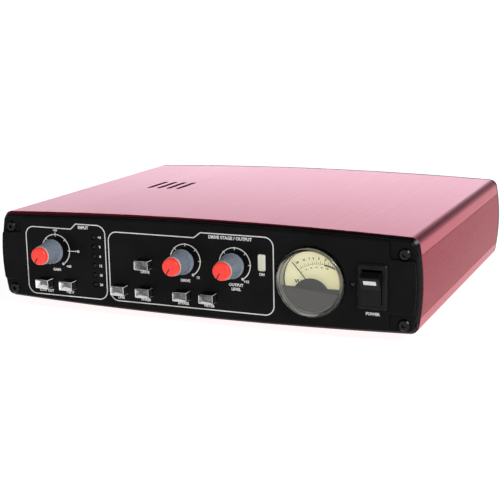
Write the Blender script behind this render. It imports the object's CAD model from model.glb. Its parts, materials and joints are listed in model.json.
import json
import math

import bpy
from mathutils import Matrix, Vector


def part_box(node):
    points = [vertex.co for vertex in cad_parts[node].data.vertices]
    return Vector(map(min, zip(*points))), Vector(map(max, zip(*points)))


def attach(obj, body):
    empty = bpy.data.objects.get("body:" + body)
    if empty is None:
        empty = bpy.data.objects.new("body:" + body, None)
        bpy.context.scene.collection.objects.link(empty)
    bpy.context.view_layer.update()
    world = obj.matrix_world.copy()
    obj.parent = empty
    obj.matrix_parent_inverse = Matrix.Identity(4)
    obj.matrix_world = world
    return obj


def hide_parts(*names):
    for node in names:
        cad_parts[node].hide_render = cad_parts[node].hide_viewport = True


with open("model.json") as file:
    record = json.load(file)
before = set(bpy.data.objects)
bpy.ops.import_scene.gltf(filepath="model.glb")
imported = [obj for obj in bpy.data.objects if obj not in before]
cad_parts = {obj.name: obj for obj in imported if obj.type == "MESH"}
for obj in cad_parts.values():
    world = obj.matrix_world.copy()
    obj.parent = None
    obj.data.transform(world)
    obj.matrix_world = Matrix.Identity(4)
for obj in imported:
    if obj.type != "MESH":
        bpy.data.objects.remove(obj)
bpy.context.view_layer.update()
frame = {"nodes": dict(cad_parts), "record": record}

# The looks of a desktop microphone preamp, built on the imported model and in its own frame.
# X runs to the right seen from the front, Y from the front to the rear and Z up.
# Lengths are in millimetres until a mesh or a shader node takes them, and in metres from there.

MM = 0.001
SLOTS = {part["node"]: part["material_slot"] for part in frame["record"]["subparts"]}
NODES = frame["nodes"]


def box_mm(node):
    """A node's lowest and highest corners in millimetres."""
    low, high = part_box(node)
    return low / MM, high / MM


def middle_mm(node):
    low, high = box_mm(node)
    return (low + high) / 2


FACE = box_mm("front_panel")[0].y  # the plane of the front panel's raised face
SHARP = 28.0  # two faces that meet at more than this many degrees keep a real edge
DIALS = ("input", "drive", "output")
REST_ANGLE = -150.0  # the clock angle at which each dial's pointer rests
LAMPS = 6  # in the level column


# ---- material helpers -------------------------------------------------------------------------


class Shade:
    """One material with a Principled shader, and short ways to add nodes to it."""

    def __init__(self, name, colour, roughness, metallic=0.0, **sockets):
        self.material = bpy.data.materials.new(name)
        self.material.use_nodes = True
        self.tree = self.material.node_tree
        self.shader = self.tree.nodes["Principled BSDF"]
        self.put("Base Color", (*colour, 1.0))
        self.put("Roughness", roughness)
        self.put("Metallic", metallic)
        for socket, value in sockets.items():
            self.put(socket.replace("_", " "), value)
        self.place = self.add("ShaderNodeTexCoord").outputs["Object"]

    def put(self, socket, value):
        self.shader.inputs[socket].default_value = value

    def add(self, kind):
        return self.tree.nodes.new(kind)

    def link(self, source, target):
        self.tree.links.new(source, target)

    def stretched(self, across, along, up):
        """Object coordinates in cells: each number is a cell's size in millimetres."""
        mapping = self.add("ShaderNodeMapping")
        mapping.inputs["Scale"].default_value = (1 / (across * MM), 1 / (along * MM), 1 / (up * MM))
        self.link(self.place, mapping.inputs["Vector"])
        return mapping.outputs["Vector"]

    def noise(self, cell, detail=3.0, rough=0.5):
        """Noise whose features are about one cell in size; a cell is one number or three."""
        size = cell if isinstance(cell, tuple) else (cell, cell, cell)
        texture = self.add("ShaderNodeTexNoise")
        texture.inputs["Scale"].default_value = 1.0
        texture.inputs["Detail"].default_value = detail
        texture.inputs["Roughness"].default_value = rough
        self.link(self.stretched(*size), texture.inputs["Vector"])
        return texture.outputs["Fac"]

    def span(self, value, low, high, start=0.3, end=0.7):
        """Spread the range start to end of a value over low to high."""
        node = self.add("ShaderNodeMapRange")
        node.inputs["From Min"].default_value = start
        node.inputs["From Max"].default_value = end
        node.inputs["To Min"].default_value = low
        node.inputs["To Max"].default_value = high
        self.link(value, node.inputs["Value"])
        return node.outputs["Result"]

    def blend(self, share, first, second):
        """Mix two colours; each is a colour or another node's output."""
        node = self.add("ShaderNodeMix")
        node.data_type = "RGBA"
        self.link(share, node.inputs["Factor"])
        for socket, value in ((node.inputs[6], first), (node.inputs[7], second)):
            if isinstance(value, tuple):
                socket.default_value = (*value, 1.0)
            else:
                self.link(value, socket)
        return node.outputs[2]

    def edges(self, radius):
        """1 along the edges that a hand would rub, 0 on the open faces."""
        bevel = self.add("ShaderNodeBevel")
        bevel.samples = 6
        bevel.inputs["Radius"].default_value = radius * MM
        facing = self.add("ShaderNodeVectorMath")
        facing.operation = "DOT_PRODUCT"
        self.link(bevel.outputs["Normal"], facing.inputs[0])
        self.link(self.add("ShaderNodeNewGeometry").outputs["Normal"], facing.inputs[1])
        return self.span(facing.outputs["Value"], 1.0, 0.0, 0.86, 0.99)

    def times(self, first, second):
        node = self.add("ShaderNodeMath")
        node.operation = "MULTIPLY"
        self.link(first, node.inputs[0])
        self.link(second, node.inputs[1])
        return node.outputs["Value"]

    def bump(self, heights, depth, strength=0.5):
        """Raise the surface by a texture; the depth is in millimetres."""
        node = self.add("ShaderNodeBump")
        node.inputs["Strength"].default_value = strength
        node.inputs["Distance"].default_value = depth * MM
        self.link(heights, node.inputs["Height"])
        self.link(node.outputs["Normal"], self.shader.inputs["Normal"])

    def colour_from(self, value):
        self.link(value, self.shader.inputs["Base Color"])

    def roughness_from(self, value):
        self.link(value, self.shader.inputs["Roughness"])


def lighter(colour, factor):
    return tuple(min(1.0, channel * factor) for channel in colour)


def moulded(name, colour, roughness, grain=0.35, depth=0.01, worn=0.0, **sockets):
    """Moulded plastic or rubber: faint mottling and a fine skin grain.
    worn is how much lighter its rubbed edges are; at 0 there are none."""
    shade = Shade(name, colour, roughness, **sockets)
    mottle = shade.noise(9.0)
    tone = shade.blend(shade.span(mottle, 0.0, 1.0), lighter(colour, 0.82), lighter(colour, 1.18))
    if worn:
        patches = shade.span(shade.noise(2.5, 5.0), 0.0, 1.0, 0.4, 0.62)
        rubbed = shade.times(shade.edges(0.35), patches)
        tone = shade.blend(rubbed, tone, lighter(colour, 1 + worn))
    shade.colour_from(tone)
    fine = shade.noise(grain, 4.0, 0.6)
    shade.roughness_from(shade.span(shade.noise(3.0, 4.0), roughness * 0.85, roughness * 1.2))
    shade.bump(fine, depth)
    return shade.material


def machined(name, colour, roughness, cell=(0.25, 4.0, 0.25), depth=0.006, **sockets):
    """Turned, drawn or plated metal: fine lines along the cell's long side and soft stains."""
    shade = Shade(name, colour, roughness, 1.0, **sockets)
    stains = shade.span(shade.noise(5.0), 0.0, 1.0)
    shade.colour_from(shade.blend(stains, lighter(colour, 0.85), lighter(colour, 1.1)))
    lines = shade.noise(cell, 3.0, 0.65)
    shade.roughness_from(shade.span(lines, roughness * 0.75, roughness * 1.35))
    shade.bump(lines, depth)
    return shade.material


def lacquered_lip(shade):
    """1 on the part of the sleeve's front bevel that is lacquered black like the panel inside it.
    The top of the bevel stays red, on a strip that narrows from left to right."""
    place = shade.add("ShaderNodeSeparateXYZ")
    shade.link(shade.place, place.inputs["Vector"])
    normal = shade.add("ShaderNodeSeparateXYZ")
    shade.link(shade.add("ShaderNodeNewGeometry").outputs["Normal"], normal.inputs["Vector"])
    faces_front = shade.span(normal.outputs["Y"], 1.0, 0.0, -0.6, -0.4)
    faces_up = shade.span(normal.outputs["Z"], 0.0, 1.0, 0.54, 0.68)
    narrowing = -0.0045
    slope = shade.add("ShaderNodeMath")
    slope.operation = "MULTIPLY_ADD"
    slope.inputs[1].default_value = narrowing
    shade.link(place.outputs["X"], slope.inputs[0])
    shade.link(place.outputs["Y"], slope.inputs[2])
    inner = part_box("front_panel")[1].y + 0.8 * MM
    blur = 0.1 * MM
    beyond = shade.span(slope.outputs["Value"], 0.0, 1.0, inner - blur, inner + blur)
    red_strip = shade.times(faces_up, beyond)
    invert = shade.span(red_strip, 1.0, 0.0, 0.0, 1.0)
    return shade.times(faces_front, invert)


def red_anodised():
    """Satin dyed oxide on an extrusion: fine lines along its length, blast grain, bare edges."""
    colour = (0.45, 0.022, 0.037)
    clouded = (0.40, 0.018, 0.034)
    bare = (0.70, 0.26, 0.28)
    lacquer = (0.006, 0.006, 0.007)
    coat = {"Coat_Weight": 0.34, "Coat_Roughness": 0.26, "Coat_IOR": 1.5}
    shade = Shade("red_anodised", colour, 0.34, 1.0, **coat)
    shade.put("Specular Tint", (1.0, 0.75, 0.82, 1.0))
    drawn = shade.noise((0.5, 60.0, 0.5), 4.0, 0.6)
    cloud = shade.noise((26.0, 40.0, 26.0), 2.0)
    tone = shade.blend(shade.span(drawn, 0.0, 1.0), lighter(colour, 0.95), lighter(colour, 1.06))
    tone = shade.blend(shade.span(cloud, 0.0, 0.35), tone, clouded)
    patches = shade.span(shade.noise(4.0, 6.0), 0.0, 0.25, 0.54, 0.68)
    rubbed = shade.times(shade.edges(0.25), patches)
    tone = shade.blend(rubbed, tone, bare)
    shade.colour_from(shade.blend(lacquered_lip(shade), tone, lacquer))
    shade.roughness_from(shade.span(drawn, 0.31, 0.37))
    shade.bump(shade.noise((0.16, 0.5, 0.16), 4.0, 0.7), 0.006, 0.6)
    return shade.material


def gloss_black():
    """The panel's smooth moulding: faint sink waves, dust-fine grain and rubbed rims."""
    colour = (0.0045, 0.0042, 0.0046)
    waves = (0.0075, 0.0072, 0.0078)
    rim = (0.014, 0.014, 0.015)
    shade = Shade("gloss_black", colour, 0.30, Specular_IOR_Level=0.05)
    patches = shade.span(shade.noise(6.0, 5.0), 0.15, 0.8, 0.4, 0.65)
    rubbed = shade.times(shade.edges(0.35), patches)
    tone = shade.blend(shade.span(shade.noise(14.0), 0.0, 1.0), colour, waves)
    shade.colour_from(shade.blend(rubbed, tone, rim))
    shade.roughness_from(shade.span(shade.noise((7.0, 7.0, 3.0), 5.0, 0.6), 0.24, 0.38))
    shade.bump(shade.noise(0.3, 3.0, 0.6), 0.004)
    return shade.material


def clear(name, colour, roughness=0.03, ior=1.49, depth=0.002, **sockets):
    """A clear moulding or glass with faint flow marks in its skin."""
    shade = Shade(name, colour, roughness, Transmission_Weight=1.0, IOR=ior, **sockets)
    flow = shade.span(shade.noise(6.0), 0.0, 1.0)
    shade.colour_from(shade.blend(flow, colour, lighter(colour, 0.97)))
    shade.roughness_from(shade.span(shade.noise(2.0, 4.0), roughness * 0.6, roughness * 1.6))
    shade.bump(shade.noise(5.0, 2.0), depth, 0.35)
    return shade.material


def level_lens():
    """Smoked lamp lenses in a column; the highest one is dyed red."""
    smoke = (0.008, 0.007, 0.008)
    red = (0.022, 0.005, 0.006)
    haze = (0.018, 0.014, 0.014)
    shade = Shade("led_smoke", smoke, 0.16, Specular_IOR_Level=0.15)
    split = shade.add("ShaderNodeSeparateXYZ")
    shade.link(shade.place, split.inputs["Vector"])
    low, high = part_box("level_leds")
    top_start = high.z - (high.z - low.z) / LAMPS
    is_top = shade.span(split.outputs["Z"], 0.0, 1.0, top_start - 0.1 * MM, top_start)
    tone = shade.blend(is_top, smoke, red)
    shade.colour_from(shade.blend(shade.span(shade.noise(0.7), 0.0, 0.4), tone, haze))
    shade.roughness_from(shade.span(shade.noise(0.5), 0.12, 0.22))
    return shade.material


def milky_window():
    """The milky indicator window, paler towards its top."""
    glow = {"Subsurface_Weight": 0.35, "Subsurface_Scale": 0.002}
    shade = Shade("window_cream", (0.70, 0.66, 0.52), 0.24, **glow)
    split = shade.add("ShaderNodeSeparateXYZ")
    shade.link(shade.place, split.inputs["Vector"])
    low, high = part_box("tube_window")
    rise = shade.span(split.outputs["Z"], 0.0, 1.0, low.z, high.z)
    shade.colour_from(shade.blend(rise, (0.64, 0.63, 0.50), (0.80, 0.79, 0.66)))
    shade.roughness_from(shade.span(shade.noise(1.2), 0.18, 0.30))
    shade.bump(shade.noise(0.6), 0.006)
    return shade.material


def dial_card():
    """The meter's printed card: cream, yellower on its right-hand side, with paper-fine grain."""
    left = (0.92, 0.89, 0.60)
    right = (0.62, 0.55, 0.26)
    foxed = (0.78, 0.72, 0.46)
    low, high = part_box("meter_dial")
    shade = Shade("dial_cream", (0.86, 0.82, 0.58), 0.55, Emission_Strength=0.42)
    shade.put("Emission Color", (1.0, 0.94, 0.55, 1.0))
    split = shade.add("ShaderNodeSeparateXYZ")
    shade.link(shade.place, split.inputs["Vector"])
    rightward = shade.span(split.outputs["X"], 0.0, 1.0, low.x + 0.012, high.x)
    tone = shade.blend(rightward, left, right)
    stains = shade.span(shade.noise(3.0, 5.0), 0.0, 0.25)
    shade.colour_from(shade.blend(stains, tone, foxed))
    shade.roughness_from(shade.span(shade.noise(0.4), 0.48, 0.62))
    shade.bump(shade.noise(0.15), 0.004)
    return shade.material


def meter_mask_black():
    """The meter's lower cover: smooth black with a paler lower part that starts on a slant."""
    shade = Shade("meter_black", (0.010, 0.010, 0.011), 0.16, Specular_IOR_Level=0.1)
    split = shade.add("ShaderNodeSeparateXYZ")
    shade.link(shade.place, split.inputs["Vector"])
    middle = middle_mm("meter_dial")
    slant = 0.09
    blur = 0.0002
    slope = shade.add("ShaderNodeMath")
    slope.operation = "MULTIPLY_ADD"
    slope.inputs[1].default_value = slant
    shade.link(split.outputs["X"], slope.inputs[0])
    shade.link(split.outputs["Z"], slope.inputs[2])
    edge = (middle.z - 4.2 + slant * middle.x) * MM
    below = shade.span(slope.outputs["Value"], 1.0, 0.0, edge - blur, edge + blur)
    shade.colour_from(shade.blend(below, (0.003, 0.003, 0.004), (0.060, 0.056, 0.049)))
    shade.roughness_from(shade.span(shade.noise(2.0, 4.0), 0.16, 0.24))
    shade.bump(shade.noise(0.25, 2.0), 0.0008, 0.3)
    return shade.material


def circuit_board():
    """Green lacquer over copper tracks, which show as slightly raised paler lines."""
    green = (0.012, 0.10, 0.035)
    track = (0.05, 0.24, 0.08)
    shade = Shade("board_green", green, 0.32, Coat_Weight=0.3, Coat_Roughness=0.15)
    tracks = shade.add("ShaderNodeTexBrick")
    tracks.inputs["Color1"].default_value = (0.0, 0.0, 0.0, 1.0)
    tracks.inputs["Color2"].default_value = (0.35, 0.35, 0.35, 1.0)
    tracks.inputs["Mortar"].default_value = (1.0, 1.0, 1.0, 1.0)
    tracks.inputs["Scale"].default_value = 1.0
    tracks.inputs["Mortar Size"].default_value = 0.03
    shade.link(shade.stretched(3.0, 5.0, 5.0), tracks.inputs["Vector"])
    shade.colour_from(shade.blend(tracks.outputs["Color"], green, track))
    shade.roughness_from(shade.span(shade.noise(1.0), 0.26, 0.40))
    shade.bump(tracks.outputs["Color"], 0.03)
    return shade.material


def ribbon_wires():
    """Flat cable: parallel grey insulated wires, seen as rounded stripes."""
    shade = Shade("ribbon_grey", (0.40, 0.40, 0.41), 0.5)
    wires = shade.add("ShaderNodeTexWave")
    wires.bands_direction = "X"
    wires.inputs["Scale"].default_value = 0.25
    shade.link(shade.stretched(1.0, 1.0, 1.0), wires.inputs["Vector"])
    shade.colour_from(shade.blend(wires.outputs["Fac"], (0.22, 0.22, 0.23), (0.48, 0.48, 0.49)))
    shade.roughness_from(shade.span(shade.noise(2.0), 0.42, 0.6))
    shade.bump(wires.outputs["Fac"], 0.15)
    return shade.material


def ink(name, colour):
    """Screen-printed ink: dense, matt, with a faint unevenness from the screen."""
    shade = Shade(name, colour, 0.55)
    cover = shade.span(shade.noise(0.8, 4.0), 0.0, 1.0)
    shade.colour_from(shade.blend(cover, lighter(colour, 0.86), colour))
    shade.roughness_from(shade.span(shade.noise(0.3), 0.45, 0.65))
    shade.bump(shade.noise(0.12, 3.0), 0.004)
    return shade.material


def knob_body():
    """Blue-grey satin moulding with a thin gloss, paler along the edges that fingers rub."""
    colour = (0.178, 0.210, 0.255)
    rim = (0.38, 0.42, 0.47)
    shade = Shade("knob_grey", colour, 0.42, Coat_Weight=0.35, Coat_Roughness=0.18)
    mottle = shade.span(shade.noise(1.6, 4.0), 0.0, 1.0)
    tone = shade.blend(mottle, lighter(colour, 0.9), lighter(colour, 1.1))
    patches = shade.span(shade.noise(1.5, 5.0), 0.2, 0.9, 0.4, 0.65)
    rubbed = shade.times(shade.edges(0.25), patches)
    shade.colour_from(shade.blend(rubbed, tone, rim))
    shade.roughness_from(shade.span(shade.noise(1.0, 4.0), 0.24, 0.34))
    shade.bump(shade.noise(0.12, 3.0, 0.6), 0.006)
    return shade.material


def cap_red():
    """Bright orange-red plastic that glows faintly, paler along its rubbed rim."""
    deep = (0.92, 0.032, 0.020)
    light = (0.98, 0.045, 0.028)
    rim = (0.95, 0.36, 0.24)
    glow = {"Subsurface_Weight": 0.06, "Subsurface_Scale": 0.001, "Emission_Strength": 0.10}
    shade = Shade("cap_red", (0.95, 0.038, 0.024), 0.40, **glow)
    shade.put("Emission Color", (1.0, 0.035, 0.02, 1.0))
    tone = shade.blend(shade.span(shade.noise(1.8, 4.0), 0.0, 1.0), deep, light)
    shade.colour_from(shade.blend(shade.edges(0.2), tone, rim))
    shade.roughness_from(shade.span(shade.noise(0.8, 4.0), 0.34, 0.48))
    shade.bump(shade.noise(0.1, 3.0, 0.6), 0.005)
    return shade.material


def make_finishes():
    """The material for each slot of the record."""
    return {
        "red_anodised": red_anodised(),
        "gloss_black": gloss_black(),
        "rear_black": moulded("rear_black", (0.012, 0.012, 0.013), 0.42, 0.5, 0.02, 3.0),
        "black_steel": machined("black_steel", (0.022, 0.022, 0.024), 0.26, (0.3, 0.3, 0.3)),
        "foot_rubber": moulded("foot_rubber", (0.016, 0.016, 0.016), 0.75, 0.25, 0.03),
        "control_steel": machined("control_steel", (0.50, 0.50, 0.50), 0.35),
        "switch_black": moulded(
            "switch_black", (0.009, 0.009, 0.010), 0.28, 0.25, 0.012, 4.0, Specular_IOR_Level=0.10
        ),
        "led_smoke": level_lens(),
        "led_clear": moulded(
            "led_clear", (0.016, 0.016, 0.019), 0.12, 0.5, 0.003, Specular_IOR_Level=0.3
        ),
        "window_cream": milky_window(),
        "meter_clear": clear("meter_clear", (0.985, 0.985, 0.965), Specular_IOR_Level=0.15),
        "meter_black": meter_mask_black(),
        "dial_cream": dial_card(),
        "needle_black": moulded("needle_black", (0.012, 0.012, 0.012), 0.5),
        "coil_copper": machined("coil_copper", (0.60, 0.28, 0.14), 0.35, (0.2, 0.2, 0.2)),
        "magnet_steel": machined("magnet_steel", (0.30, 0.30, 0.31), 0.4),
        "lamp_glass": clear("lamp_glass", (0.95, 0.92, 0.80)),
        "rocker_black": moulded(
            "rocker_black", (0.006, 0.006, 0.007), 0.20, 0.5, 0.004, 4.0, Specular_IOR_Level=0.12
        ),
        "contact_brass": machined("contact_brass", (0.72, 0.54, 0.22), 0.25),
        "board_green": circuit_board(),
        "capacitor_sleeve": moulded("capacitor_sleeve", (0.020, 0.030, 0.10), 0.25, 1.0, 0.006),
        "chip_black": moulded("chip_black", (0.020, 0.020, 0.020), 0.45),
        "heatsink_black": machined("heatsink_black", (0.06, 0.06, 0.065), 0.45),
        "ribbon_grey": ribbon_wires(),
        "socket_ceramic": moulded("socket_ceramic", (0.78, 0.75, 0.68), 0.28),
        "tube_clear": clear("tube_clear", (0.97, 0.98, 0.98)),
        "electrode_steel": machined("electrode_steel", (0.26, 0.26, 0.27), 0.45),
        "socket_black": moulded("socket_black", (0.022, 0.022, 0.024), 0.38, 0.4, 0.015, 4.0),
        "insert_black": moulded("insert_black", (0.018, 0.018, 0.019), 0.42),
        "tab_steel": machined("tab_steel", (0.62, 0.62, 0.62), 0.22),
        "contact_silver": machined("contact_silver", (0.80, 0.78, 0.74), 0.16, (0.3, 2.0, 0.3)),
        "jack_black": moulded("jack_black", (0.018, 0.018, 0.019), 0.36, 0.3, 0.012, 3.0),
        "nut_nickel": machined("nut_nickel", (0.70, 0.68, 0.64), 0.18, (0.3, 0.3, 0.3)),
        "knob_grey": knob_body(),
        "cap_red": cap_red(),
        "shaft_metal": machined("shaft_metal", (0.72, 0.72, 0.72), 0.25),
        "button_clear": clear("button_clear", (0.62, 0.63, 0.64), 0.09, depth=0.0008),
        "print_white": ink("print_white", (0.80, 0.80, 0.78)),
        "print_black": ink("print_black", (0.012, 0.012, 0.010)),
    }


FINISH = make_finishes()


def dress_nodes():
    """Give every CAD node its slot's material and soft shading that keeps its real edges."""
    for name, node in NODES.items():
        node.data.materials.clear()
        node.data.materials.append(FINISH[SLOTS[name]])
        for face in node.data.polygons:
            face.use_smooth = True
        node.data.set_sharp_from_angle(angle=math.radians(SHARP))


# ---- mesh helpers -----------------------------------------------------------------------------


def new_piece(name, verts, faces, body, slot, sharp=SHARP):
    """A mesh from points in millimetres, which rides on a body and has a slot's material."""
    mesh = bpy.data.meshes.new(name)
    mesh.from_pydata([Vector(vert) * MM for vert in verts], [], faces)
    mesh.update()
    mesh.materials.append(FINISH[slot])
    for face in mesh.polygons:
        face.use_smooth = True
    mesh.set_sharp_from_angle(angle=math.radians(sharp))
    piece = bpy.data.objects.new(name, mesh)
    bpy.context.scene.collection.objects.link(piece)
    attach(piece, body)
    return piece


def lathe(name, profile, centre, body, slot, steps=72, wave=None):
    """A piece turned about an axis along Y through centre (x, z).
    The profile is (radius, y) pairs from one end of the axis to the other.
    wave(angle, y) may add a little to the radius."""
    verts = []
    rings = []
    for radius, y in profile:
        if radius == 0.0:
            rings.append([len(verts)])
            verts.append((centre[0], y, centre[1]))
            continue
        ring = []
        for step in range(steps):
            angle = 2 * math.pi * step / steps
            reach = radius + (wave(angle, y) if wave else 0.0)
            ring.append(len(verts))
            x = centre[0] + reach * math.sin(angle)
            z = centre[1] + reach * math.cos(angle)
            verts.append((x, y, z))
        rings.append(ring)
    faces = []
    for first, second in zip(rings, rings[1:]):
        for step in range(steps):
            after = (step + 1) % steps
            corners = [
                first[step % len(first)],
                first[after % len(first)],
                second[after % len(second)],
                second[step % len(second)],
            ]
            face = list(dict.fromkeys(corners))
            if len(face) > 2:
                faces.append(face)
    return new_piece(name, verts, faces, body, slot)


def rounded_outline(wide, tall, radius, steps=6):
    """A rounded rectangle about the origin, counter-clockwise, as (across, up) pairs."""
    points = []
    corners = ((1, 1, 0), (-1, 1, 90), (-1, -1, 180), (1, -1, 270))
    for right, top, start in corners:
        centre = (right * (wide / 2 - radius), top * (tall / 2 - radius))
        for step in range(steps + 1):
            angle = math.radians(start + 90 * step / steps)
            across = centre[0] + radius * math.cos(angle)
            points.append((across, centre[1] + radius * math.sin(angle)))
    return points


def stacked(name, rings, body, slot, sharp=SHARP):
    """A closed solid through a stack of equal-length rings of points."""
    count = len(rings[0])
    verts = [point for ring in rings for point in ring]
    faces = [list(range(count))[::-1]]
    for level in range(len(rings) - 1):
        for step in range(count):
            after = (step + 1) % count
            low, high = level * count, (level + 1) * count
            faces.append([low + step, low + after, high + after, high + step])
    faces.append([(len(rings) - 1) * count + step for step in range(count)])
    return new_piece(name, verts, faces, body, slot, sharp)


FINE, BOLD, HEAVY = 0.04, 0.05, 0.06  # weights of the printed words


class Print:
    """Flat printed marks on one plane that faces the front or the rear, gathered in one mesh."""

    def __init__(self, plane, thick, facing=-1):
        self.plane = plane
        self.thick = thick
        self.facing = facing
        self.count = 0
        self.verts = []
        self.faces = []

    def slab(self, left, right, closed):
        """A strip between two lines of (x, z) points. Neighbours differ a little in thickness,
        so that marks which cross don't share a face."""
        start = len(self.verts)
        self.count += 1
        front = self.plane + self.facing * (self.thick + 0.003 * (self.count % 5))
        for (x0, z0), (x1, z1) in zip(left, right):
            self.verts += [(x0, front, z0), (x1, front, z1)]
            self.verts += [(x1, self.plane, z1), (x0, self.plane, z0)]
        count = len(left)
        for step in range(count if closed else count - 1):
            here = start + 4 * step
            there = start + 4 * ((step + 1) % count)
            for side in range(4):
                after = (side + 1) % 4
                self.faces.append([here + side, here + after, there + after, there + side])
        if not closed:
            last = start + 4 * (count - 1)
            self.faces.append([start, start + 3, start + 2, start + 1])
            self.faces.append([last, last + 1, last + 2, last + 3])

    def line(self, points, width, closed=False):
        """A line of even width along (x, z) points, mitred at its corners."""
        count = len(points)
        left, right = [], []
        for step in range(count):
            before = points[step - 1] if closed or step else points[step]
            after = points[(step + 1) % count] if closed or step < count - 1 else points[step]
            here = Vector(points[step])
            inward, outward = Vector((0, 0)), Vector((0, 0))
            if before != points[step]:
                inward = (here - Vector(before)).normalized()
            if after != points[step]:
                outward = (Vector(after) - here).normalized()
            along = (inward + outward).normalized()
            normal = Vector((-along.y, along.x))
            bend = abs(normal.dot(Vector((-outward.y, outward.x)))) if outward.length else 1.0
            offset = normal * width / 2 / max(bend, 0.5)
            left.append(tuple(here + offset))
            right.append(tuple(here - offset))
        self.slab(left, right, closed)

    def arc(self, centre, radius, start, end, width):
        """An arc; angles are in degrees, clockwise from straight up."""
        steps = max(6, int(abs(end - start) / 4))
        points = []
        for step in range(steps + 1):
            points.append(around(centre, radius, start + (end - start) * step / steps))
        self.line(points, width)

    def tick(self, centre, inner, outer, angle, width):
        self.line([around(centre, inner, angle), around(centre, outer, angle)], width)

    def dot(self, centre, radius, sides=16):
        """A filled disc, made as a wide ring about its own centre."""
        outer = [around(centre, radius, 360 * step / sides) for step in range(sides)]
        inner = [around(centre, radius * 0.02, 360 * step / sides) for step in range(sides)]
        self.slab(outer, inner, True)

    def word(self, text, x, z, height, weight=BOLD, turn=0.0):
        """Plain capitals or figures whose own height is given, centred on (x, z).
        The weight thickens the strokes by a share of the height, and the turn is clockwise."""
        size_per_height = 1.4
        curve = bpy.data.curves.new("word", "FONT")
        curve.body = text
        curve.align_x = "CENTER"
        curve.align_y = "CENTER"
        curve.size = height * size_per_height
        curve.offset = weight * height
        curve.extrude = self.thick / 2
        curve.resolution_u = 3
        holder = bpy.data.objects.new("word", curve)
        mesh = bpy.data.meshes.new_from_object(holder)
        start = len(self.verts)
        spin = math.radians(turn)
        for vert in mesh.vertices:
            across = vert.co.x * math.cos(spin) + vert.co.y * math.sin(spin)
            up = vert.co.y * math.cos(spin) - vert.co.x * math.sin(spin)
            depth = self.plane + self.facing * (self.thick / 2 + vert.co.z)
            self.verts.append((x - self.facing * across, depth, z + up))
        for face in mesh.polygons:
            self.faces.append([start + corner for corner in face.vertices])
        bpy.data.objects.remove(holder)
        bpy.data.curves.remove(curve)
        bpy.data.meshes.remove(mesh)

    def make(self, name, body, slot):
        return new_piece(name, self.verts, self.faces, body, slot, 20.0)


def around(centre, radius, angle):
    """A point at a clock angle: 0 is straight up and 90 is to the right."""
    turn = math.radians(angle)
    return (centre[0] + radius * math.sin(turn), centre[1] + radius * math.cos(turn))


# ---- printing on the front panel --------------------------------------------------------------

INK_THICK = 0.04
FRAME_LINE = 0.50  # the width of the frames' lines

# Each frame's lower left and upper right corners, the height of its raised part,
# and the places at which its top starts and ends its step up.
FRAMES = (
    ((-94.96, 8.3), (-48.26, 43.4), 46.2, (-68.0, -65.0)),
    ((-46.41, 8.5), (42.05, 43.55), 46.2, (1.0, 4.4)),
)
FRAME_CORNER = 4.6

RING = 8.06  # the radius of the ring printed round each dial
RING_ENDS = (-150, 150)
RING_LINE = 0.46
TICK_LINE = 0.34

# Heights of the printed words and figures.
GAIN_FIGURE, FIGURE, BUTTON_WORD, DIAL_WORD, HEADING = 1.15, 1.25, 1.3, 1.35, 1.5

# What stands beside each dial: the words, their place from its centre, and their height.
DIAL_WORDS = (
    ("input", "+30", 0.0, 10.2, GAIN_FIGURE),
    ("input", "+48", 12.6, 0.0, GAIN_FIGURE),
    ("input", "+60", 7.2, -8.1, FIGURE),
    ("input", "GAIN", 0.1, -10.2, DIAL_WORD),
    ("drive", "10", 6.6, -8.1, FIGURE),
    ("drive", "DRIVE", -0.2, -10.1, DIAL_WORD),
    ("output", "+15", 5.9, -8.1, FIGURE),
    ("output", "OUTPUT", 0.5, -10.1, DIAL_WORD),
    ("output", "LEVEL", 0.5, -12.2, DIAL_WORD),
)


def framed(low, high, raised, notch):
    """The outline of a printed frame whose top steps up between two notch places."""
    left, bottom = low[0] + FRAME_CORNER, low[1] + FRAME_CORNER
    right, top = high[0] - FRAME_CORNER, high[1]

    def corner(centre, start):
        return [around(centre, FRAME_CORNER, start - 90 * step / 8) for step in range(9)]

    points = corner((left, bottom), 270) + corner((right, bottom), 180)
    points += corner((right, raised - FRAME_CORNER), 90)
    points += [(notch[1], raised), (notch[0], top)]
    return points + corner((left, top - FRAME_CORNER), 360)


def dial_centre(name):
    """A dial's axis as (x, z), taken across from its shaft and up from its knob."""
    low, high = box_mm(name + "_knob")
    return (middle_mm(name + "_dial_shaft").x, (low.z + high.z) / 2)


def dial_scales(marks):
    """A ring round each dial with its ticks, end dots and figures."""
    for name in DIALS:
        centre = dial_centre(name)
        marks.arc(centre, RING, *RING_ENDS, RING_LINE)
        for angle in (-45, 0, 45, 90):
            marks.tick(centre, 6.9, 8.4, angle, TICK_LINE)
            marks.dot(around(centre, RING, angle), 0.44, 12)
        for angle in RING_ENDS:
            marks.dot(around(centre, RING, angle), 0.66)
    for outer, angle in ((9.3, 0), (11.2, 90)):
        marks.tick(dial_centre("input"), 8.0, outer, angle, TICK_LINE)
    for name, text, across, up, height in DIAL_WORDS:
        centre = dial_centre(name)
        marks.word(text, centre[0] + across, centre[1] + up, height)


BUTTON_WORDS = {
    "low_cut_button": "LOW CUT",
    "phantom_button": "+48 V",
    "line_button": "LINE",
    "phase_button": "PHASE",
    "tube_button": "DRIVE",
    "bypass_button": "BYPASS",
    "meter_button": "METER",
}


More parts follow.
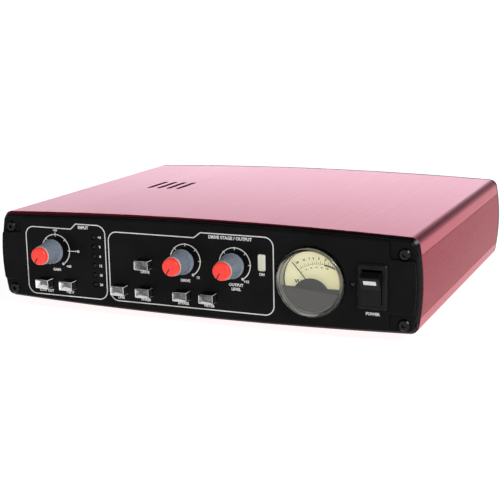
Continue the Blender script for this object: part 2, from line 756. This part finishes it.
def captions(marks):
    """Short plain words and figures beside the controls."""
    for name, text in BUTTON_WORDS.items():
        middle = middle_mm(name)
        low = box_mm(name)[0].z
        marks.word(text, middle.x - 0.2, low - 2.0, BUTTON_WORD)
    low, high = box_mm("level_leds")
    lens = 3.8
    pitch = (high.z - low.z - lens) / (LAMPS - 1)
    for step, text in enumerate(("24", "18", "12", "6", "0", "+6")):
        marks.word(text, high.x + 1.6, low.z + lens / 2 + step * pitch, FIGURE)
    window = middle_mm("tube_window")
    marks.word("ON", window.x, window.z - 5.7, FIGURE)
    rocker = middle_mm("power_switch_housing")
    marks.word("POWER", rocker.x, rocker.z - 12.9, DIAL_WORD, HEAVY)
    marks.word("INPUT", -60.7, 44.5, HEADING, HEAVY)
    marks.word("DRIVE STAGE / OUTPUT", 20.0, 44.45, HEADING, HEAVY)


def front_printing():
    marks = Print(FACE, INK_THICK)
    for frame_shape in FRAMES:
        marks.line(framed(*frame_shape), FRAME_LINE, True)
    dial_scales(marks)
    captions(marks)
    marks.make("front_printing", "case", "print_white")


# ---- dials ------------------------------------------------------------------------------------

FLUTES = 30
NECK = 4.7  # the radius of a knob where it meets its cap
WAIST_STEPS = 14


def knob_flutes(angle, y):
    """Shallow grip flutes that fade out toward the skirt."""
    deepest = -0.11
    from_face = FACE - y
    share = max(0.0, min(1.0, (from_face - 4.2) / 2.0))
    return deepest * share * (0.5 - 0.5 * math.cos(FLUTES * angle)) ** 2


def knob(name):
    """The moulded body of one knob: skirt, groove and fluted taper, with its pointer and cap."""
    body = name + "_dial"
    centre = dial_centre(name)
    low, high = box_mm(name + "_knob")
    skirt = (high.x - low.x) / 2
    front = low.y
    rear = high.y
    waist = skirt - 0.45
    taper_rear = rear - 4.85
    taper_long = front + 0.35 - rear + 4.85
    # (radius, y) pairs: the skirt, the groove in front of it, the taper, and the seat of the cap.
    profile = [(3.05, rear - 2.3), (skirt - 0.35, rear - 2.35), (skirt - 0.04, rear - 2.65)]
    profile += [(skirt - 0.02, rear - 3.75), (skirt - 0.15, rear - 4.0)]
    profile += [(waist + 0.05, rear - 4.15), (waist - 0.22, rear - 4.25)]
    profile += [(waist - 0.24, rear - 4.55), (waist, rear - 4.75)]
    for step in range(WAIST_STEPS + 1):
        share = step / WAIST_STEPS
        y = taper_rear + taper_long * share
        profile.append((waist + (NECK - waist) * share, y))
    profile += [(NECK - 0.3, front + 0.02), (3.2, front + 0.02), (3.2, front + 1.5)]
    piece = lathe(name + "_knob_body", profile, centre, body, "knob_grey", 240, knob_flutes)
    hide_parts(name + "_knob")
    piece.data.materials.append(KNOB_RIM)
    for face in piece.data.polygons:
        if face.center.y / MM < front + 0.3:
            face.material_index = 1
    knob_pointer(name, centre, front, rear, waist, body)
    knob_cap(name, centre, body)


def at_pointer(centre, along, across):
    """The (x, z) place at a distance along the resting pointer and a distance to its side."""
    turn = math.radians(REST_ANGLE)
    x = centre[0] + along * math.sin(turn) + across * math.cos(turn)
    z = centre[1] + along * math.cos(turn) - across * math.sin(turn)
    return x, z


def knob_pointer(name, centre, front, rear, waist, body):
    """A narrow white line inlaid along the knob's body, at its pointer's clock angle."""
    half = 0.26
    line_rear = rear - 4.8
    line_long = front + 0.4 - rear + 4.8
    rings = []
    for share in (0.0, 0.5, 1.0):
        y = line_rear + line_long * share
        radius = waist + (NECK - waist) * share
        ring = []
        for across, out in ((-half, -0.3), (half, -0.3), (half, 0.03), (-half, 0.03)):
            x, z = at_pointer(centre, radius + out, across)
            ring.append((x, y, z))
        rings.append(ring)
    stacked(name + "_knob_line", rings, body, "print_white")


def knob_cap(name, centre, body):
    """The coloured cap: a low dome with a rounded rim and an inlaid dark pointer."""
    low, high = box_mm(name + "_knob_cap")
    front = low.y
    edge = (high.x - low.x) / 2 - 0.45
    # (radius, y) pairs: the dome, the rounded rim, the side, and the peg in the knob's seat.
    profile = [(0.0, front + 0.14), (edge * 0.5, front + 0.15), (edge - 0.85, front + 0.18)]
    profile += [(edge - 0.62, front + 0.24), (edge - 0.30, front + 0.62)]
    profile += [(edge - 0.25, front + 0.8), (edge - 0.22, front + 1.1)]
    profile += [(edge - 0.20, front + 2.15), (edge - 0.3, front + 2.3)]
    profile += [(3.15, front + 2.3), (3.1, front + 3.7), (0.0, front + 3.7)]
    piece = lathe(name + "_cap", profile, centre, body, "cap_red", 96)
    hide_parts(name + "_knob_cap")
    start, end, half = 0.9, edge - 0.35, 0.22
    bar = []
    for y in (front + 0.02, front + 0.6):
        ring = []
        for along, across in ((start, -half), (end, -half), (end, half), (start, half)):
            x, z = at_pointer(centre, along, across)
            ring.append((x, y, z))
        bar.append(ring)
    stacked(name + "_cap_pointer", bar, body, "print_black")


# ---- push-buttons -----------------------------------------------------------------------------


def ring_at(outline, centre, y):
    """An outline placed at a depth as a ring of points."""
    return [(centre.x + across, y, centre.z + up) for across, up in outline]


def push_button(name):
    """A hollow clear cap over a pale plunger."""
    low, high = box_mm(name)
    centre = (low + high) / 2
    wide = high.x - low.x
    tall = high.z - low.z
    front = low.y
    cap_long = 10.5
    wall = 1.05
    outer = rounded_outline(wide, tall, 0.5)
    inner = rounded_outline(wide - 2 * wall, tall - 2 * wall, 0.35)
    floor_wide = wide - 2 * wall - 0.6
    floor_tall = tall - 2 * wall - 0.6
    # From the rounded front, along the outside, round the open rear and back along the hollow.
    rings = [
        ring_at(rounded_outline(wide - 0.7, tall - 0.7, 0.3), centre, front),
        ring_at(rounded_outline(wide - 0.22, tall - 0.22, 0.42), centre, front + 0.1),
        ring_at(outer, centre, front + 0.4),
        ring_at(outer, centre, front + cap_long),
        ring_at(inner, centre, front + cap_long),
        ring_at(inner, centre, front + 2.4),
        ring_at(rounded_outline(floor_wide, floor_tall, 0.2), centre, front + 2.1),
    ]
    cap = stacked(name + "_cap", rings, name, "button_clear", 35.0)
    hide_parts(name)
    polish_edges(cap, centre, front, wide, tall)
    side = 2.6
    side_tall = side * 0.9
    square = rounded_outline(side, side_tall, 0.3, 3)
    head = rounded_outline(wide - 2 * wall - 0.5, tall - 2 * wall - 0.4, 0.25, 3)
    # The plunger's narrow tip, its wide head that fills the cap, and its stem into the switch.
    rings = [
        ring_at(rounded_outline(side - 0.3, side_tall - 0.3, 0.2, 3), centre, front + 3.2),
        ring_at(square, centre, front + 3.4),
        ring_at(square, centre, front + 3.8),
        ring_at(head, centre, front + 3.95),
        ring_at(head, centre, front + 10.3),
        ring_at(square, centre, front + 10.4),
        ring_at(square, centre, high.y),
    ]
    plunger = stacked(name + "_plunger", rings, name, "button_clear")
    plunger.data.materials[0] = PLUNGER


def polish_edges(cap, centre, front, wide, tall):
    """The cap's front rim and its long corners are a paler, flame-polished strip."""
    cap.data.materials.append(CAP_EDGE)
    for face in cap.data.polygons:
        depth = face.center.y / MM - front
        across = abs(face.center.x / MM - centre.x)
        up = abs(face.center.z / MM - centre.z)
        is_rim = 0.1 < depth < 0.4
        is_corner = 0.4 < depth < 6.0 and across > wide / 2 - 0.3 and up > tall / 2 - 0.3
        if is_rim or is_corner:
            face.material_index = 1


# ---- level meter ------------------------------------------------------------------------------


def meter_scale():
    """The meter card's arc, ticks and figures; the arc is flatter than the needle's sweep."""
    card_low = box_mm("meter_dial")[0]
    middle = middle_mm("meter_dial")
    arc = (middle.x + 3.8, middle.z - 10.1)
    radius = 18.1
    start, red_start, end = -37.7, 6, 25
    sweep = end - start
    ticks = 20
    marks = Print(card_low.y, 0.03)
    marks.arc(arc, radius, start, end, 0.2)
    marks.arc(arc, radius - 0.25, red_start, end, 0.85)
    for step in range(ticks + 1):
        angle = start + sweep * step / ticks
        length, width = (1.1, 0.14) if step % 2 else (1.75, 0.2)
        marks.tick(arc, radius, radius + length, angle, width)
    level_figures = (("20", 52.5, 34.5), ("10", 55.7, 35.9), ("7", 58.5, 36.7), ("5", 60.6, 37.0))
    level_figures += (("3", 63.4, 37.2), ("0", 66.75, 36.9), ("3", 69.8, 36.0))
    for text, x, z in level_figures:
        turn = math.degrees(math.atan2(x - arc[0], z - arc[1]))
        marks.word(text, x, z, 1.25, HEAVY, turn)
    for step, text in enumerate(("0", "20", "40", "60", "80", "100")):
        angle = -35 + 9.2 * step
        x, z = around(arc, radius - 1.7, angle)
        marks.word(text, x, z, 0.8, FINE, angle)
    marks.word("VU", middle.x - 7.5, middle.z - 1.3, 1.9, HEAVY)
    marks.make("meter_scale", "case", "print_black")


def meter_cover():
    """The clear cover with a rounded shoulder; the back of its flange isn't polished."""
    middle = middle_mm("meter_lens")
    # (radius, depth from the panel's face) pairs: face, shoulder, flange, rear rim, inside.
    profile = [(0.0, -2.4), (8.0, -2.4), (14.9, -2.38)]
    for step in range(7):
        turn = math.radians(15 * step)
        profile.append((15.2 + 1.0 * math.sin(turn), -1.38 - 1.0 * math.cos(turn)))
    profile += [(16.62, -1.26), (16.85, -1.14), (16.96, -0.95), (17.0, -0.7), (17.0, 0.0)]
    profile += [(15.5, 0.0), (15.5, 3.5), (14.8, 3.5), (14.8, -0.9), (14.6, -1.12), (14.3, -1.2)]
    profile += [(7.0, -1.2), (0.0, -1.2)]
    placed = [(radius, FACE + depth) for radius, depth in profile]
    cover = lathe("meter_cover", placed, (middle.x, middle.z), "case", "meter_clear", 120)
    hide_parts("meter_lens")
    cover.data.materials.append(FROSTED)
    for face in cover.data.polygons:
        depth = face.center.y / MM - FACE
        radius = math.hypot(face.center.x / MM - middle.x, face.center.z / MM - middle.z)
        if depth > -0.05 and radius > 15.4:
            face.material_index = 1


# ---- power switch -----------------------------------------------------------------------------


def rocker_mark():
    """The white bar let into the rocker's raised upper half.
    The tilt, pivot, valley and tip are the CAD rocker's own; the last two are (depth, up) pairs
    from the pivot of a level rocker."""
    centre = middle_mm("power_switch_housing")
    tilt = math.radians(15.0)
    pivot = (FACE + 0.4, centre.z)

    def on_rocker(depth, up):
        y = depth * math.cos(tilt) - up * math.sin(tilt)
        z = depth * math.sin(tilt) + up * math.cos(tilt)
        return pivot[0] + y, pivot[1] + z

    valley = Vector((-3.4, 0.0))
    tip = Vector((-5.26, 6.95))
    rise = (tip - valley).normalized()
    out = Vector((-rise.y, rise.x))
    rings = []
    for lift in (0.05, -0.3):
        ring = []
        for across, along in rounded_outline(6.0, 2.3, 0.25, 3):
            spot = valley + rise * (4.2 + along) + out * lift
            y, z = on_rocker(spot.x, spot.y)
            ring.append((centre.x + across, y, z))
        rings.append(ring)
    stacked("rocker_mark", rings, "power_rocker", "print_white")


# ---- rear details -----------------------------------------------------------------------------


def rear_printing():
    """Plain figures in a row above the rear sockets, and rings round the jacks.
    The two large sockets reach up to the row, so their figures stand beside them."""
    height, beside = 40.0, -17.0
    rear = box_mm("rear_panel")[1].y
    marks = Print(rear, INK_THICK, 1)
    spots = (
        ("mic_socket_insert", beside),
        ("instrument_jack", 0.0),
        ("line_jack", 0.0),
        ("output_socket_pins", beside),
        ("power_inlet", 0.0),
    )
    for step, (node, shift) in enumerate(spots, start=1):
        marks.word(str(step), middle_mm(node).x + shift, height, 2.2)
    for node in ("instrument_jack", "line_jack"):
        marks.arc((middle_mm(node).x, middle_mm(node).z), 9.0, 0, 359.9, 0.4)
    marks.make("rear_printing", "case", "print_white")


# ---- floor, light and camera ------------------------------------------------------------------


def floor():
    """A pale floor, wide enough for low views, which gives off light of its own."""
    half = 30.0
    mesh = bpy.data.meshes.new("floor")
    corners = [(-half, -half, 0), (half, -half, 0), (half, half, 0), (-half, half, 0)]
    mesh.from_pydata(corners, [], [[0, 1, 2, 3]])
    piece = bpy.data.objects.new("floor", mesh)
    bpy.context.scene.collection.objects.link(piece)
    glow = {"Specular_IOR_Level": 0.1, "Emission_Strength": 0.92}
    shade = Shade("floor_pale", (0.35, 0.35, 0.35), 0.9, **glow)
    shade.put("Emission Color", (1.0, 1.0, 1.0, 1.0))
    mottle = shade.noise(120.0)
    shade.colour_from(shade.blend(mottle, (0.345, 0.345, 0.345), (0.355, 0.355, 0.355)))
    mesh.materials.append(shade.material)


def surroundings(world):
    """Bright in a low band behind the object and to its left, a little less so at the far left.
    Dim overhead, in front and to the right."""
    world.use_nodes = True
    tree = world.node_tree
    split = tree.nodes.new("ShaderNodeSeparateXYZ")
    place = tree.nodes.new("ShaderNodeTexCoord")
    tree.links.new(place.outputs["Generated"], split.inputs["Vector"])

    def ramp(value, start, end, low, high):
        node = tree.nodes.new("ShaderNodeMapRange")
        node.interpolation_type = "SMOOTHSTEP"
        numbers = {"From Min": start, "From Max": end, "To Min": low, "To Max": high}
        for socket, number in numbers.items():
            node.inputs[socket].default_value = number
        tree.links.new(value, node.inputs["Value"])
        return node.outputs["Result"]

    def joined(operation, first, second):
        node = tree.nodes.new("ShaderNodeMath")
        node.operation = operation
        for socket, value in zip(node.inputs, (first, second)):
            if isinstance(value, float):
                socket.default_value = value
            else:
                tree.links.new(value, socket)
        return node.outputs["Value"]

    least_rearward = 0.45
    rearward = joined("MAXIMUM", split.outputs["Y"], least_rearward)
    steepness = joined("DIVIDE", split.outputs["Z"], rearward)
    overhead = ramp(steepness, 0.14, 0.27, 3.6, 0.34)
    behind = ramp(split.outputs["Y"], -0.4, 0.4, 0.22, 1.0)
    leftward = ramp(split.outputs["X"], -0.18, 0.08, 1.0, 0.15)
    centred = ramp(split.outputs["X"], -0.70, -0.22, 0.78, 1.12)
    sides = joined("MULTIPLY", leftward, centred)
    product = joined("MULTIPLY", joined("MULTIPLY", overhead, behind), sides)
    backdrop = tree.nodes["Background"]
    backdrop.inputs["Color"].default_value = (0.99, 1.01, 1.13, 1.0)
    tree.links.new(product, backdrop.inputs["Strength"])


def studio():
    """The surroundings, and one broad sun from the front right that lights the case's side."""
    world = bpy.data.worlds.new("studio")
    bpy.context.scene.world = world
    surroundings(world)
    sun = bpy.data.lights.new("key", "SUN")
    sun.energy = 2.5
    sun.angle = math.radians(30)
    holder = bpy.data.objects.new("key", sun)
    bpy.context.scene.collection.objects.link(holder)
    holder.rotation_mode = "QUATERNION"
    towards_sun = Vector((0.85, -0.45, 0.72))
    holder.rotation_quaternion = towards_sun.to_track_quat("Z", "Y")
    view = bpy.context.scene.view_settings
    view.view_transform = "Standard"
    view.look = "None"


def camera():
    """The camera stands to the right of the front and a little above it, rolled very slightly."""
    place = Vector((0.2357, -0.5547, 0.1536))
    target = Vector((0.02875, -0.07903, 0.03871))
    data = bpy.data.cameras.new("camera")
    data.lens = 80.79
    data.sensor_width = 36.0
    data.clip_start = 0.01
    holder = bpy.data.objects.new("camera", data)
    bpy.context.scene.collection.objects.link(holder)
    ahead = (target - place).normalized()
    right = ahead.cross(Vector((0, 0, 1))).normalized()
    up = right.cross(ahead)
    roll = math.radians(-1.1)
    rolled_right = math.cos(roll) * right + math.sin(roll) * up
    rolled_up = -math.sin(roll) * right + math.cos(roll) * up
    turn = Matrix((rolled_right, rolled_up, -ahead)).transposed()
    holder.matrix_world = Matrix.Translation(place) @ turn.to_4x4()
    bpy.context.scene.camera = holder


# ---- build ------------------------------------------------------------------------------------

PLUNGER = moulded("plunger_white", (0.52, 0.53, 0.53), 0.35)
KNOB_RIM = moulded("knob_rim", (0.50, 0.40, 0.34), 0.3)
CAP_EDGE = moulded("button_edge", (0.74, 0.76, 0.77), 0.25)
FROSTED = moulded("frosted", (0.62, 0.62, 0.56), 0.5, 0.3, 0.01)

dress_nodes()
front_printing()
for dial in DIALS:
    knob(dial)
for button in BUTTON_WORDS:
    push_button(button)
meter_scale()
meter_cover()
rocker_mark()
rear_printing()
floor()
studio()
camera()
